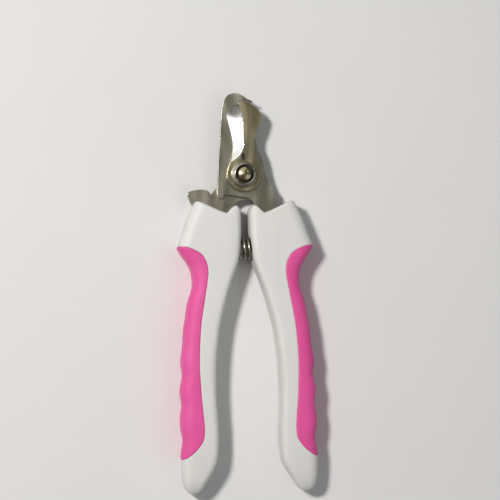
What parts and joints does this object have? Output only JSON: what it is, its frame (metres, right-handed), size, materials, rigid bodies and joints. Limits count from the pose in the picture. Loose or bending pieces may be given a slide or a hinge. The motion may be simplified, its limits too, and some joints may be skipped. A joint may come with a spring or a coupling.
{
  "type": "pet nail clipper",
  "caption": "Scissor-style pet nail clipper: hooked blade and shearing blade on a pivot bolt, soft-grip plier handles, opening spring and locking latch.",
  "frame": {"origin": "On the pivot axis, at the plane the clipper rests on: the flat rear face of the pivot bolt's head, level with the flat lands on the backs of both handles.", "axes": "+Z is the pivot axis, from the bolt head to the nut, so the nut side faces up. +Y runs from the pivot to the tip of the jaws with the handles towards -Y. +X points to the side of the handle that carries the hooked blade's tang."},
  "size_m": [0.0454, 0.1338, 0.012],
  "materials": {
    "polished_steel": "polished stainless steel with a mirror hollow grind",
    "satin_steel": "fine-ground stainless steel plate",
    "bolt_steel": "turned steel, faintly darkened",
    "spring_wire": "drawn spring wire",
    "white_shell": "warm white moulded plastic, low gloss",
    "pink_grip": "hot-pink soft-touch moulded rubber"
  },
  "bodies": {
    "left_half": {"front_blade": "polished_steel", "rear_plate": "satin_steel", "pivot_bolt": "bolt_steel", "pivot_nut": "bolt_steel", "front_washer": "polished_steel", "spring_washer": "bolt_steel", "rear_washer": "satin_steel", "left_handle_front": "white_shell", "left_handle_back": "white_shell", "left_grip": "pink_grip", "left_tang_pins": "bolt_steel", "latch_pin": "bolt_steel", "opening_spring": "spring_wire"},
    "right_half": {"hook_blade": "satin_steel", "right_handle_front": "white_shell", "right_handle_back": "white_shell", "right_grip": "pink_grip", "right_tang_pins": "bolt_steel"},
    "latch": {"latch_lever": "satin_steel"}
  },
  "joints": [
    {"name": "blade_pivot", "type": "hinge", "parent": "left_half", "child": "right_half", "pos_m": [0, 0, 0.006], "axis": [0, 0, 1], "range_deg": [0, 24], "deforming": ["opening_spring"]},
    {"name": "latch_pivot", "type": "hinge", "parent": "left_half", "child": "latch", "pos_m": [-0.0142, -0.0122, 0.006], "axis": [0, 0, 1], "range_deg": [-10, 10]}
  ]
}
